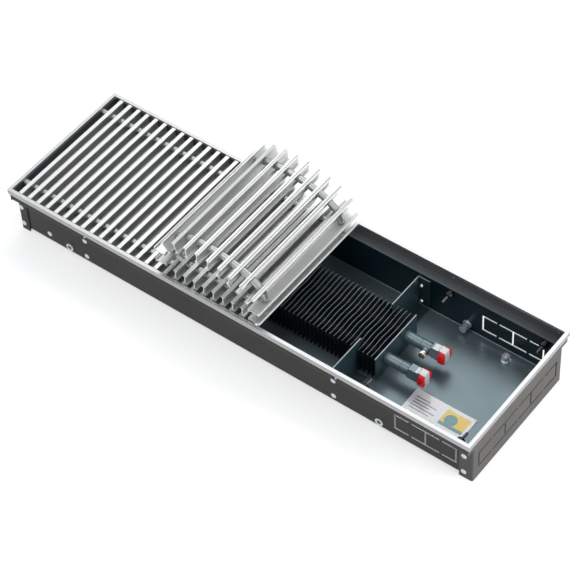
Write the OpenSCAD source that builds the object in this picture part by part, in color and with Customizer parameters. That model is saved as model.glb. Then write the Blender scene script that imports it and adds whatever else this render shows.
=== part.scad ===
// Trench convector heater with a roll-up grille.
// Millimetres. X runs along the trench, Y points to its back wall, Z up.
// The origin is on the floor, below the middle of the rim.

/* [Casing] */
// Length over the rim
rim_length = 800; // [750:10:1000]
// Width over the rim
rim_width = 240; // [225:5:300]
// Height from the floor to the top of the rim
rim_height = 90; // [86:1:105]
// Thickness of the sheet steel
sheet = 1.5; // [1:0.1:1.8]
// Distance from the rim's outer face in to the long lower walls
wall_inset = 14.5; // [13:0.5:16]
// Distance from the rim's outer face in to the end walls
end_inset = 2.5; // [1.6:0.1:2.8]
// Height of the raised band between the ledge and the rim's top
band_height = 21.5; // [20:0.5:24]
// How far the tray's bottom hangs above the end caps' feet
tray_lift = 4; // [3:0.5:6]
// Outer radius of the bends
bend_radius = 3; // [2.4:0.2:4]
// Length of the right end cap's tabs along the walls
tab_length_right = 21.5; // [20:0.5:24]
// Length of the left end cap's tabs along the walls
tab_length_left = 16; // [14:0.5:24]

/* [Rim] */
// Width of the rim's top face
rim_top = 5; // [4.8:0.1:6]
// Height of the rim's outer face
rim_face = 8.5; // [6:0.5:9]

/* [Knock-outs] */
// Width of a window in the long walls
window_length = 49.2; // [45:0.6:55]
// Width of a window in the end wall
end_window_length = 62; // [50:1:64]
// Height of the windows
window_height = 30.6; // [26:0.2:33]
// Height of the windows' lower edge above the feet
window_base = 19.4; // [16:0.2:21]
// Width of the cut slots
slot = 2.8; // [1.6:0.2:3.2]
// Length of the bridges that hold a window
bridge = 4; // [3:0.5:8]
// Distance from the rim's right end to the first window
window_start = 30.4; // [28:0.2:36]

/* [Heat exchanger] */
// Length of the finned block
block_length = 490; // [448:7:518]
// Distance from the rim's right end to the block's end plate
connection_bay = 205; // [200:1:225]
// Width of a fin
fin_width = 95; // [90:1:100]
// Height of a fin
fin_height = 45.5; // [42:0.5:48]
// Thickness of a fin
fin_thickness = 0.5; // [0.3:0.1:0.8]
// Distance between fins
fin_pitch = 7; // [5:0.5:10]
// Depth of the fins' waves
fin_wave = 0.5; // [0.3:0.1:0.6]
// Outside diameter of the copper tubes
tube_diameter = 15; // [12:0.5:16]
// Distance between the two tubes
tube_spacing = 48; // [44:1:50]
// Outside diameter of the protective caps
cap_diameter = 25.5; // [24.6:0.1:27]

/* [Grille] */
// Number of louvres, flat and rolled together
louvre_count = 47; // [46:1:48]
// Number of louvres in the roll
rolled_count = 21; // [21:1:22]
// Height of a louvre
louvre_height = 19; // [17:0.5:19]
// Width of a louvre's top flange
flange_width = 6; // [4.6:0.2:6.2]
// Thickness of a louvre's web
web = 1.6; // [1.2:0.1:2]
// Width of a louvre's forked foot
foot_width = 6; // [5:0.2:6.6]
// Diameter of the spacers on the springs
spacer_diameter = 11; // [10:0.5:12]
// Distance from the louvres' ends to the springs
spring_inset = 27; // [22:1:34]
// Diameter of the springs
spring_diameter = 4.6; // [4:0.2:5]
// Play at each end of a louvre
end_play = 1; // [0.5:0.1:1.5]

/* [Hidden] */
$fn = 48;
overrun = 1;
clear = 0.3;
snug = 0.1;

// Casing, worked out from the sizes above
half_length = rim_length / 2;
half_width = rim_width / 2;
band_inset = 1.5;
wall_out_y = half_width - wall_inset;
wall_in_y = wall_out_y - sheet;
band_out_y = half_width - band_inset;
band_in_y = band_out_y - sheet;
cap_out_x = half_length - end_inset;
cap_in_x = cap_out_x - sheet;
tray_half = cap_in_x - snug;
ledge_z = rim_height - band_height;
ledge_top = ledge_z + sheet;
floor_top = tray_lift + sheet;
rim_cover = 1.5;
rim_lip = 5;
rim_rib = 0.5;
rim_groove = 1;
band_top = rim_height - rim_cover - snug;
bend_steps = 6;
foot_flange = 14;
foot_gap = 2;

// Rivets, screws and nuts
rivet_head = 8.6;
rivet_rise = 1.4;
rivet_shank = 3.2;
rivet_low = 12.5;
rivet_high = 46;
tab_rivet_inset_right = 14;
tab_rivet_inset_left = 6;
band_rivet_head = 3.4;
band_rivet_rise = 0.6;
band_rivet_shank = 2;
// Band rivets: distance from the rim's ends, and drop below its top
back_band_rivet_insets = [15, 187];
back_band_rivet_drop = 10.5;
front_band_rivet_offset = 15;
front_band_rivet_drop = 13.5;
screw_head = 6.4;
screw_tip = 4.5;
screw_rise = 2.2;
screw_slot = 1;
screw_slot_depth = 1;

// Blind rivet nuts, M8
nut_bore = 6.8;
nut_body = 11;
nut_flange = 14;
nut_flange_height = 1.2;
nut_collar = 13;
nut_collar_height = 2;
levelling_nut_length = 10;
side_nut_length = 13.5;
levelling_inset_x = 79;
levelling_inset_y = 33;
side_nut_height = 15.8;
side_nut_inset_right = 154;
// On the left, nuts stand this far from the left bracket
side_nut_reach = 24.7;
levelling_reach = 42.7;
wall_rivet_height = 18.5;

// Studs with black heads in the wall's upper part
stud_diameter = 4;
stud_length = 22.5;
stud_height = 61.5;
stud_head = 13;
stud_head_tip = 8;
stud_head_rim = 4;
stud_head_length = 9;
stud_inset_near = 28;
stud_inset_far = 183;

// Brackets: number of the fin that each stands before, from the right
block_right = half_length - connection_bay;
block_left = block_right - block_length;
fin_count = round(block_length / fin_pitch) - 1;
bracket_fins = [fin_count - 1, 5];
bracket_height = 63;
bracket_flange = 20;
bracket_strip = 3.5;
bracket_grip = 10.5;
bracket_side_gap = 2;
fastener_offset = 6.2;
fastener_heights = [14.5, 47];

// Heat exchanger, set off from the rim's middle line towards the back
block_y = 3;
block_base = floor_top + clear;
plate_sheet = 1.5;
plate_margin = 1.3;
plate_to_bend = 4;
tube_height = 26.2;
tube_z = block_base + tube_height;
tube_wall = 1;
wave_count = 2;
wave_steps = 16;
bend_socket = 8;
bend_socket_wall = 1;
tube_left = block_left - plate_sheet - plate_to_bend - bend_socket;
tube_ys = [block_y - tube_spacing / 2, block_y + tube_spacing / 2];

// Pipe tails and unions, by their ends' distances from the block
tail_diameter = 16.6;
tail_end = 28;
coupling_diameter = 17.4;
coupling_start = 29;
coupling_end_front = 41.5;
coupling_end_back = 45;
neck_diameter = 15.8;
neck_length = 1;
neck_seat = 5;
tail_chamfer = 0.6;
union_flats = 20.6;
union_end = 61.3;
union_bore = 18.6;
water_way = 13;
union_corners = union_flats / cos(30);

// Air vent on the back tail
vent_place = 38.7;
vent_boss_diameter = 12;
vent_boss_start = 5.2;
vent_boss_reach = 10.4;
vent_stem = 8;
vent_stem_length = 3;
vent_collar = 9;
vent_collar_length = 3.6;
vent_bore = 4.2;
vent_bore_depth = 6;
spindle_play = 0.05;
spindle_knob = 11.4;
spindle_knob_length = 3.8;
spindle_slot = 1.4;
spindle_slot_depth = 1;
spindle_notches = 8;
spindle_notch = 2;

// Caps and the tape over them
cap_length = 8;
cap_plug_length = 7;
cap_plug_wall = 1.5;
cap_plug_play = 0.6;
cap_round = 2;
cap_start = union_end + snug;
cap_tip = cap_start + cap_length;
tape_width = 11;
tape_thickness = 0.4;
tape_drop = 23.2;
tape_lead_front = 8.6;
tape_lead_back = 12.8;
tape_ramp = 2;

// Label on the tray's floor
label_length = 98;
label_width = 56;
label_thickness = 0.3;
label_inset_right = 51.5;
label_inset_front = 41;

// Grille
rim_in_x = half_length - rim_top;
rim_in_y = half_width - rim_top;
louvre_half = rim_in_y - end_play;
edge_gap_left = 15;
edge_gap_right = 9.1;
first_louvre_x = -rim_in_x + edge_gap_left;
pitch = (2 * rim_in_x - edge_gap_left - edge_gap_right) / (louvre_count - 1);
flat_count = louvre_count - rolled_count;
louvre_mid = ledge_top + clear + louvre_height / 2;
flange_thickness = 1.5;
fork_height = 3.6;
fork_wall = 1.2;
spring_play = 0.4;
spring_lead = 0.8;
spring_y = louvre_half - spring_inset;
hinge_x = first_louvre_x + (flat_count - 1) * pitch;
stack_gap = 0.3;

// Where the rolled louvres stand, from the last flat louvre on, as shares of
// the pitch along X and Z, and how far each is turned from upright. The roll
// goes up at the right, back over the top and down at the left, and its free
// end lies on the flat part.
arch_shares = [
    [0.42, 0.80], [0.45, 1.95], [0.10, 3.08], [-0.88, 3.86], [-1.90, 4.28],
    [-2.96, 4.58], [-4.06, 4.78], [-5.18, 4.88], [-6.30, 4.87], [-7.44, 4.68],
    [-8.50, 4.05], [-9.29, 3.10], [-9.24, 1.86]
];
arch_turns = [90, 92, 138, 157, 164, 167, 172, 177, 184, 196, 222, 262, 276];
arch_count = len(arch_shares);
free_start_share = -7.74;
// Where the roll turns on the spring, between the last flat louvre and the first rolled one
pivot_share = 0.65;
free_rise = louvre_height + stack_gap;

// Place and turn of a louvre: number 0 is the last flat one, the others are rolled
function link_point(i) = i == 0 ? [hinge_x, louvre_mid]
    : i <= arch_count ? [hinge_x, louvre_mid] + pitch * arch_shares[i - 1]
    : [hinge_x + pitch * (free_start_share + i - arch_count - 1), louvre_mid + free_rise];
function link_turn(i) = i == 0 ? 0 : i <= arch_count ? arch_turns[i - 1] : 360;

// Points of an arc about a centre
function arc(centre, radius, from, to) = [
    for (i = [0 : bend_steps])
    let (a = from + (to - from) * i / bend_steps)
    centre + radius * [cos(a), sin(a)]
];
function flipped(points) = [for (i = [len(points) - 1 : -1 : 0]) [-points[i][0], points[i][1]]];

// Lays a profile drawn in Y and Z along X
module along_x(from, to) {
    translate([from, 0, 0]) rotate([90, 0, 90]) linear_extrude(to - from) children();
}
// Lays a profile drawn in X and Z along Y
module along_y(from, to) {
    translate([0, to, 0]) rotate([90, 0, 0]) linear_extrude(to - from) children();
}
module cylinder_y(diameter, from, to, x, z) {
    translate([x, to, z]) rotate([90, 0, 0]) cylinder(d = diameter, h = to - from);
}
module cylinder_x(diameter, from, to, y, z) {
    translate([from, y, z]) rotate([0, 90, 0]) cylinder(d = diameter, h = to - from);
}
module mirrored_x() {
    children();
    mirror([1, 0, 0]) children();
}
module block(low, high) {
    translate(low) cube(high - low);
}

// Half of the tray's outline in Y and Z: floor, wall, ledge and raised band
function tray_half_outline() = concat(
    arc([wall_out_y - bend_radius, tray_lift + bend_radius], bend_radius, -90, 0),
    [[wall_out_y, ledge_z]],
    arc([band_out_y - bend_radius, ledge_z + bend_radius], bend_radius, -90, 0),
    [[band_out_y, band_top], [band_in_y, band_top], [band_in_y, ledge_top]],
    arc([wall_in_y + bend_radius / 2, ledge_top - bend_radius / 2], bend_radius / 2, 90, 180),
    arc([wall_in_y - bend_radius / 2, floor_top + bend_radius / 2], bend_radius / 2, 0, -90)
);

// Cut-out window lines: sides, and edges that a bridge splits
module window_slots(count, length) {
    for (i = [0 : count])
        translate([i * length - slot / 2, 0]) square([slot, window_height]);
    for (i = [0 : count - 1], z = [0, window_height - slot]) {
        half = (length - bridge) / 2;
        translate([i * length, z]) square([half, slot]);
        translate([(i + 1) * length - half, z]) square([half, slot]);
    }
}

// Places of the brackets and of what stands near them
function bracket_x(i) = block_right - (bracket_fins[i] - 1 / 2) * fin_pitch - sheet / 2;
function fastener_x(i) = bracket_x(i) + fastener_offset;
levelling_xs = [bracket_x(0) - levelling_reach, half_length - levelling_inset_x];
levelling_y = half_width - levelling_inset_y;
side_nut_xs = [bracket_x(0) - side_nut_reach, half_length - side_nut_inset_right];
stud_xs = [half_length - stud_inset_far, half_length - stud_inset_near];
wall_rivet_x = (side_nut_xs[0] - cap_out_x + tab_length_left) / 2;
tab_rivet_xs = [tab_rivet_inset_left - cap_out_x, cap_out_x - tab_rivet_inset_right];
back_band_rivet_xs = [for (side = [-1, 1], inset = back_band_rivet_insets) side * (half_length - inset)];
front_band_rivet_xs = [fastener_x(0) + front_band_rivet_offset, fastener_x(1) + front_band_rivet_offset];
// A round hole through one long wall: side 1 is the back, side -1 the front
module wall_hole(side, diameter, x, z) {
    cylinder_y(diameter + 2 * snug, side > 0 ? 0 : -half_width, side > 0 ? half_width : 0, x, z);
}

module tray() {
    color([0.22, 0.27, 0.30])
    difference() {
        along_x(-tray_half, tray_half)
            polygon(concat(tray_half_outline(), flipped(tray_half_outline())));
        for (x = levelling_xs, y = [-levelling_y, levelling_y])
            translate([x, y, tray_lift - overrun])
                cylinder(d = nut_body + 2 * snug, h = sheet + 2 * overrun);
        for (side = [-1, 1]) {
            for (x = side_nut_xs) wall_hole(side, nut_body, x, side_nut_height);
            for (x = stud_xs) wall_hole(side, stud_diameter, x, stud_height);
            for (x = tab_rivet_xs, z = [rivet_low, rivet_high]) wall_hole(side, rivet_shank, x, z);
            for (i = [0, 1], z = fastener_heights) wall_hole(side, rivet_shank, fastener_x(i), z);
        }
        wall_hole(-1, rivet_shank, wall_rivet_x, wall_rivet_height);
        for (x = back_band_rivet_xs)
            wall_hole(1, band_rivet_shank, x, rim_height - back_band_rivet_drop);
        for (x = front_band_rivet_xs)
            wall_hole(-1, band_rivet_shank, x, rim_height - front_band_rivet_drop);
        along_y(-half_width, half_width)
            translate([half_length - window_start - 2 * window_length, window_base])
                window_slots(2, window_length);
    }
}

// An end cap: flat end wall with ears that close the band, tabs round the
// corners along the walls, and a foot flange
module end_cap(windows, tab_length, rivet_inset) {
    tab_out = wall_out_y + sheet;
    tab_top = ledge_z - clear;
    rim_low = rim_height - rim_face - clear;
    difference() {
        union() {
            linear_extrude(tab_top) difference() {
                union() {
                    translate([cap_out_x - tab_length, -tab_out])
                        square([tab_length - bend_radius, 2 * tab_out]);
                    translate([cap_out_x - bend_radius, -tab_out + bend_radius])
                        square([bend_radius, 2 * (tab_out - bend_radius)]);
                    for (side = [-1, 1])
                        translate([cap_out_x - bend_radius, side * (tab_out - bend_radius)])
                            circle(r = bend_radius);
                }
                translate([cap_out_x - tab_length - overrun, -wall_out_y])
                    square([tab_length + overrun - sheet, 2 * wall_out_y]);
            }
            along_x(cap_in_x, cap_out_x) mirrored_x()
                polygon([[0, sheet], [wall_in_y, sheet], [wall_in_y, tab_top], [band_out_y, tab_top],
                         [band_out_y, rim_low], [rim_in_y - clear, rim_low],
                         [rim_in_y - clear, band_top], [0, band_top]]);
            block([cap_out_x - foot_flange, -wall_out_y + foot_gap, 0],
                  [cap_in_x, wall_out_y - foot_gap, sheet]);
        }
        for (z = [rivet_low, rivet_high])
            cylinder_y(rivet_shank + 2 * snug, -half_width, half_width, cap_out_x - rivet_inset, z);
        if (windows)
            along_x(cap_in_x - overrun, cap_out_x + overrun)
                translate([-1.5 * end_window_length, window_base])
                    window_slots(3, end_window_length);
    }
}
module end_cap_right() {
    color([0.52, 0.50, 0.48]) end_cap(true, tab_length_right, tab_rivet_inset_right);
}
module end_cap_left() {
    color([0.30, 0.29, 0.28]) mirror([1, 0, 0])
        end_cap(false, tab_length_left, tab_rivet_inset_left);
}

// Rim bar: a capped channel over the band, with ribs on its outer face and a
// shorter inner lip
module rim_profile(out, inset) {
    slot_in = out - inset - sheet - snug;
    slot_out = out - inset + snug;
    low = rim_height - rim_face;
    difference() {
        translate([out - rim_top, low]) square([rim_top, rim_face]);
        translate([slot_in, low - overrun]) square([slot_out - slot_in, rim_face + overrun - rim_cover]);
        translate([out - rim_top - overrun, low - overrun])
            square([slot_in - out + rim_top + 2 * overrun, rim_face + overrun - rim_lip]);
        for (step = [2, 4, 6])
            translate([out - rim_rib, rim_height - (step + 1 / 2) * rim_groove])
                square([rim_rib + overrun, rim_groove / 2]);
    }
}
// Rim bar along X with both ends mitred: length over all, place of its outer
// face, and how far inside that face the sheet in it stands
module rim_bar(length, out, inset) {
    difference() {
        along_x(-length / 2, length / 2) rim_profile(out, inset);
        for (s = [0, 1])
            mirror([s, 0, 0])
                translate([length / 2, out, rim_height - rim_face - overrun])
                    rotate([0, 0, 45])
                        block([-2 * rim_top, -3 * rim_top, 0], [3 * rim_top, 0, rim_face + 2 * overrun]);
    }
}
module rim_back() {
    color([0.86, 0.87, 0.87]) rim_bar(rim_length, half_width, band_inset);
}
module rim_front() {
    color([0.86, 0.87, 0.87]) rotate([0, 0, 180]) rim_bar(rim_length, half_width, band_inset);
}
module rim_right() {
    color([0.86, 0.87, 0.87]) rotate([0, 0, -90]) rim_bar(rim_width, half_length, end_inset);
}
module rim_left() {
    color([0.86, 0.87, 0.87]) rotate([0, 0, 90]) rim_bar(rim_width, half_length, end_inset);
}

// Blind rivet through a wall whose outer face is at "out", with its head
// outside and its formed end inside, drawn along +Y
module rivet(head, rise, shank, out, depth, x, z) {
    translate([x, out, z]) rotate([-90, 0, 0]) {
        cylinder(d1 = head, d2 = head / 2, h = rise);
        translate([0, 0, -depth]) cylinder(d = shank, h = depth);
        translate([0, 0, -depth - rise]) cylinder(d = (head + shank) / 2, h = rise);
    }
}
module side_mirrored(side) {
    mirror([0, side > 0 ? 0 : 1, 0]) children();
}
module end_cap_rivets() {
    color([0.72, 0.73, 0.74])
    for (side = [-1, 1], x = tab_rivet_xs, z = [rivet_low, rivet_high])
        side_mirrored(side)
            rivet(rivet_head, rivet_rise, rivet_shank, wall_out_y + sheet, 2 * sheet, x, z);
}
module wall_rivet() {
    color([0.72, 0.73, 0.74]) side_mirrored(-1)
        rivet(rivet_head, rivet_rise, rivet_shank, wall_out_y, sheet, wall_rivet_x, wall_rivet_height);
}
module band_rivet(x, drop) {
    rivet(band_rivet_head, band_rivet_rise, band_rivet_shank, band_out_y, sheet, x, rim_height - drop);
}
module band_rivets() {
    color([0.62, 0.62, 0.62]) {
        for (x = back_band_rivet_xs) band_rivet(x, back_band_rivet_drop);
        for (x = front_band_rivet_xs) side_mirrored(-1) band_rivet(x, front_band_rivet_drop);
    }
}

// Bracket drawn with its web at X = 0 and its flanges pointing to +X. Its
// wings reach between two fins on both sides and a strip joins them below.
module bracket() {
    outer = wall_in_y - snug;
    low = floor_top + snug;
    grip = fin_width / 2 - bracket_grip;
    beside = fin_width / 2 + plate_margin + bracket_side_gap;
    along_x(0, sheet) polygon([
        [-outer, low + bend_radius], [-outer + bend_radius, low],
        [outer - bend_radius, low], [outer, low + bend_radius],
        [outer, bracket_height], [block_y + grip, bracket_height],
        [block_y + grip, low + bracket_strip], [block_y - grip, low + bracket_strip],
        [block_y - grip, bracket_height], [-outer, bracket_height]
    ]);
    for (ends = [[-outer + bend_radius, block_y - beside], [block_y + beside, outer - bend_radius]])
        block([sheet / 2, ends[0], low], [bracket_flange, ends[1], low + sheet]);
    difference() {
        for (ends = [[-outer, sheet - outer], [outer - sheet, outer]])
            block([sheet / 2, ends[0], floor_top + 2 * bend_radius],
                  [bracket_flange, ends[1], bracket_height]);
        for (z = fastener_heights)
            cylinder_y(rivet_shank + 2 * snug, -half_width, half_width, fastener_offset, z);
    }
}
module bracket_right() {
    color([0.24, 0.29, 0.33]) translate([bracket_x(1), 0, 0]) bracket();
}
module bracket_left() {
    color([0.24, 0.29, 0.33]) translate([bracket_x(0), 0, 0]) bracket();
}
// Slotted fasteners from the inside, with their formed ends outside the wall
module bracket_screws() {
    reach = 2 * sheet + 3 * snug;
    head_y = wall_out_y + snug - reach;
    color([0.80, 0.81, 0.82])
    for (side = [-1, 1], i = [0, 1], z = fastener_heights) side_mirrored(side)
        translate([fastener_x(i), head_y, z]) rotate([90, 0, 0]) difference() {
            union() {
                cylinder(d1 = screw_head, d2 = screw_tip, h = screw_rise);
                translate([0, 0, -reach]) cylinder(d = rivet_shank, h = reach);
                translate([0, 0, -reach - rivet_rise])
                    cylinder(d1 = rivet_head / 2, d2 = rivet_head, h = rivet_rise);
            }
            translate([0, 0, screw_rise])
                cube([2 * screw_head, screw_slot, 2 * screw_slot_depth], center = true);
        }
}

// Rivet nut through a sheet from Z = 0 down, its flange and body above it
module rivet_nut(length) {
    difference() {
        union() {
            cylinder(d = nut_body, h = length);
            cylinder(d = nut_flange, h = nut_flange_height);
            translate([0, 0, -sheet - snug]) cylinder(d = nut_body, h = sheet + 2 * snug);
            translate([0, 0, -sheet - snug - nut_collar_height])
                cylinder(d = nut_collar, h = nut_collar_height);
        }
        translate([0, 0, -sheet - nut_collar_height - overrun])
            cylinder(d = nut_bore, h = sheet + nut_collar_height + length + 2 * overrun);
    }
}
module levelling_nuts() {
    color([0.78, 0.80, 0.82])
    for (x = levelling_xs, y = [-levelling_y, levelling_y])
        translate([x, y, floor_top]) rivet_nut(levelling_nut_length);
}
module side_nuts() {
    color([0.78, 0.80, 0.82])
    for (x = side_nut_xs, side = [-1, 1]) side_mirrored(side)
        translate([x, wall_in_y, side_nut_height]) rotate([90, 0, 0]) rivet_nut(side_nut_length);
}
module side_studs() {
    color([0.55, 0.55, 0.56])
    for (x = stud_xs, s = [-1, 1]) side_mirrored(s)
        cylinder_y(stud_diameter, wall_out_y - stud_length, wall_out_y, x, stud_height);
}
// Domed black heads: a straight rim, then a quarter ellipse to the tip
module stud_heads() {
    dome = [for (i = [0 : bend_steps]) let (a = 90 * i / bend_steps)
        [(stud_head - stud_head_tip) / 2 * cos(a) + stud_head_tip / 2,
         stud_head_rim + (stud_head_length - stud_head_rim) * sin(a)]];
    bore = stud_diameter / 2 + snug;
    color([0.08, 0.08, 0.09])
    for (x = stud_xs, side = [-1, 1]) side_mirrored(side)
        translate([x, wall_in_y, stud_height]) rotate([90, 0, 0]) rotate_extrude()
            polygon(concat([[bore, 0], [stud_head / 2, 0]], dome, [[bore, stud_head_length]]));
}

// The wave of a fin across the block, as an outline in Y and X
function fin_edge(offset) = [
    for (i = [0 : wave_steps])
    [offset + fin_wave * sin(360 * wave_count * i / wave_steps), fin_width * (i / wave_steps - 1 / 2)]
];
module fin() {
    front = fin_edge(fin_thickness / 2);
    back = fin_edge(-fin_thickness / 2);
    linear_extrude(fin_height)
        polygon(concat(front, [for (i = [wave_steps : -1 : 0]) back[i]]));
}
module tube_holes(from, to, diameter) {
    for (y = tube_ys) cylinder_x(diameter, from, to, y, tube_z);
}
module fin_pack() {
    color([0.08, 0.10, 0.12])
    difference() {
        for (i = [0 : fin_count - 1])
            translate([block_right - (i + 1) * fin_pitch, block_y, block_base]) fin();
        tube_holes(block_left - overrun, block_right + overrun, tube_diameter + 2 * snug);
    }
}
// End plate of the block
module end_plate() {
    difference() {
        block([0, block_y - fin_width / 2 - plate_margin, block_base],
              [plate_sheet, block_y + fin_width / 2 + plate_margin, block_base + fin_height]);
        tube_holes(-overrun, plate_sheet + overrun, tube_diameter + 2 * snug);
    }
}
module end_plate_right() {
    color([0.24, 0.28, 0.33]) translate([block_right, 0, 0]) end_plate();
}
module end_plate_left() {
    color([0.24, 0.28, 0.33]) translate([block_left, 0, 0]) mirror([1, 0, 0]) end_plate();
}
module copper_tube(y) {
    color([0.72, 0.42, 0.26]) difference() {
        cylinder_x(tube_diameter, tube_left, block_right + tail_end, y, tube_z);
        cylinder_x(tube_diameter - 2 * tube_wall, tube_left - overrun,
                   block_right + tail_end + overrun, y, tube_z);
    }
}
module copper_tube_front() {
    copper_tube(tube_ys[0]);
}
module copper_tube_back() {
    copper_tube(tube_ys[1]);
}
// U bend with a socket on each tube, which joins them at the left
module return_bend() {
    inner = tube_diameter / 2 - tube_wall;
    bore = tube_diameter / 2 + snug;
    shoulder = tube_left - snug - bend_socket_wall;
    color([0.72, 0.42, 0.26]) {
        translate([shoulder, block_y, tube_z]) rotate([0, 0, 90])
            rotate_extrude(angle = 180) translate([tube_spacing / 2, 0]) difference() {
                circle(d = tube_diameter);
                circle(r = inner);
            }
        for (y = tube_ys) translate([0, y, tube_z]) rotate([0, 90, 0]) rotate_extrude()
            polygon([[inner, shoulder], [bore + bend_socket_wall, shoulder],
                     [bore + bend_socket_wall, tube_left + bend_socket],
                     [bore, tube_left + bend_socket], [bore, tube_left - snug],
                     [inner, tube_left - snug]]);
    }
}

// Solid of revolution about a tube's axis: points give distance from the block and radius
module turned_x(y, points) {
    translate([block_right, y, tube_z]) rotate([0, 90, 0]) rotate_extrude()
        polygon([for (p = points) [p[1], p[0]]]);
}
// Tail: sleeve over the tube, a groove, a coupling, and a neck that seats in the union
module tail(y, coupling_end) {
    chamfer = tail_chamfer;
    tail_bore = tube_diameter / 2 + snug;
    seat_end = coupling_end + neck_length + neck_seat;
    turned_x(y, [
        [plate_sheet + clear, tail_bore], [plate_sheet + clear, tail_diameter / 2],
        [tail_end - chamfer, tail_diameter / 2], [tail_end, neck_diameter / 2],
        [coupling_start, neck_diameter / 2], [coupling_start + chamfer, coupling_diameter / 2],
        [coupling_end - chamfer, coupling_diameter / 2], [coupling_end, neck_diameter / 2],
        [coupling_end + neck_length + snug, neck_diameter / 2],
        [coupling_end + neck_length + snug, union_bore / 2 - snug],
        [seat_end, union_bore / 2 - snug], [seat_end, water_way / 2],
        [tail_end + snug, water_way / 2], [tail_end + snug, tail_bore]
    ]);
}
module tail_front() {
    color([0.25, 0.31, 0.35]) tail(tube_ys[0], coupling_end_front);
}
// Lays what is drawn up from Z = 0 at the back tail's axis along the vent's axis
module on_vent_axis() {
    translate([block_right + vent_place, tube_ys[1], tube_z]) rotate([90, 0, 0]) children();
}
module tail_back() {
    color([0.25, 0.31, 0.35]) difference() {
        union() {
            tail(tube_ys[1], coupling_end_back);
            on_vent_axis() translate([0, 0, vent_boss_start])
                cylinder(d = vent_boss_diameter, h = vent_boss_reach - vent_boss_start);
        }
        on_vent_axis() cylinder(d = vent_stem + 2 * snug, h = vent_boss_reach + overrun);
    }
}
// Six-sided union with a flat on top and one straight bore
module union_body(y, coupling_end) {
    start = coupling_end + neck_length;
    color([0.25, 0.31, 0.35])
    translate([block_right + start, y, tube_z]) rotate([0, 90, 0]) difference() {
        rotate([0, 0, 30]) cylinder(d = union_corners, h = union_end - start, $fn = 6);
        translate([0, 0, -overrun]) cylinder(d = union_bore, h = union_end - start + 2 * overrun);
    }
}
module union_front() {
    union_body(tube_ys[0], coupling_end_front);
}
module union_back() {
    union_body(tube_ys[1], coupling_end_back);
}
module air_vent_body() {
    collar_start = vent_boss_reach + snug;
    top = collar_start + vent_collar_length;
    color([0.80, 0.79, 0.76]) on_vent_axis() difference() {
        union() {
            translate([0, 0, vent_boss_reach - vent_stem_length])
                cylinder(d = vent_stem, h = vent_stem_length + vent_collar_length);
            translate([0, 0, collar_start]) cylinder(d = vent_collar, h = vent_collar_length);
        }
        translate([0, 0, top - vent_bore_depth]) cylinder(d = vent_bore, h = vent_bore_depth + overrun);
    }
}
// Spindle with a notched knob and a cross slot
module air_vent_spindle() {
    face = vent_boss_reach + snug + vent_collar_length + clear;
    knob_end = face + spindle_knob_length;
    shank = vent_bore_depth - clear;
    color([0.86, 0.85, 0.82]) on_vent_axis() difference() {
        union() {
            translate([0, 0, face - shank]) cylinder(d = vent_bore - 2 * spindle_play, h = shank + snug);
            translate([0, 0, face]) cylinder(d = spindle_knob, h = spindle_knob_length);
        }
        for (a = [0, 90]) translate([0, 0, knob_end]) rotate([0, 0, a])
            cube([2 * spindle_knob, spindle_slot, 2 * spindle_slot_depth], center = true);
        for (i = [0 : spindle_notches - 1]) rotate([0, 0, 360 * (i + 1 / 2) / spindle_notches])
            translate([spindle_knob / 2, 0, face - snug])
                cylinder(d = spindle_notch, h = spindle_knob_length + 2 * snug, $fn = 12);
    }
}

// Cap over a union's open end, with a hollow plug that sits in the union's bore
module cap(y) {
    plug = union_bore / 2 - cap_plug_play;
    color([0.85, 0.10, 0.08]) turned_x(y, concat(
        [[cap_tip - cap_plug_wall, 0], [cap_tip - cap_plug_wall, plug - cap_plug_wall],
         [cap_start - cap_plug_length, plug - cap_plug_wall], [cap_start - cap_plug_length, plug],
         [cap_start, plug], [cap_start, cap_diameter / 2]],
        arc([cap_tip - cap_round, cap_diameter / 2 - cap_round], cap_round, 90, 0),
        [[cap_tip, 0]]
    ));
}
module cap_front() {
    cap(tube_ys[0]);
}
module cap_back() {
    cap(tube_ys[1]);
}
// Strip of tape from the union's top over a cap's edge and down its end. It
// stands off the union's flat by the height of the corners beside it.
module tape(y, lead) {
    low = union_corners / 2 + snug;
    under = cap_diameter / 2 + snug;
    over = under + tape_thickness;
    start = cap_start - lead;
    turn = [cap_tip - cap_round + snug, under - cap_round];
    color([0.92, 0.92, 0.92]) intersection() {
        turned_x(y, concat(
            [[start, low], [start, low + tape_thickness],
             [cap_start - tape_ramp, low + tape_thickness], [cap_start, over]],
            arc(turn, cap_round + tape_thickness, 90, 0),
            [[cap_tip + snug + tape_thickness, 0], [cap_tip + snug, 0]],
            arc(turn, cap_round, 0, 90),
            [[cap_start - snug, under], [cap_start - tape_ramp, low]]
        ));
        block([block_right + start - overrun, y - tape_width / 2, tube_z + over - tape_drop],
              [block_right + cap_tip + overrun, y + tape_width / 2, tube_z + over + overrun]);
    }
}
module tape_front() {
    tape(tube_ys[0], tape_lead_front);
}
module tape_back() {
    tape(tube_ys[1], tape_lead_back);
}
module info_label() {
    color([0.90, 0.90, 0.88])
    block([half_length - label_inset_right - label_length, -half_width + label_inset_front, floor_top],
          [half_length - label_inset_right, -half_width + label_inset_front + label_width,
           floor_top + label_thickness]);
}

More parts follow.
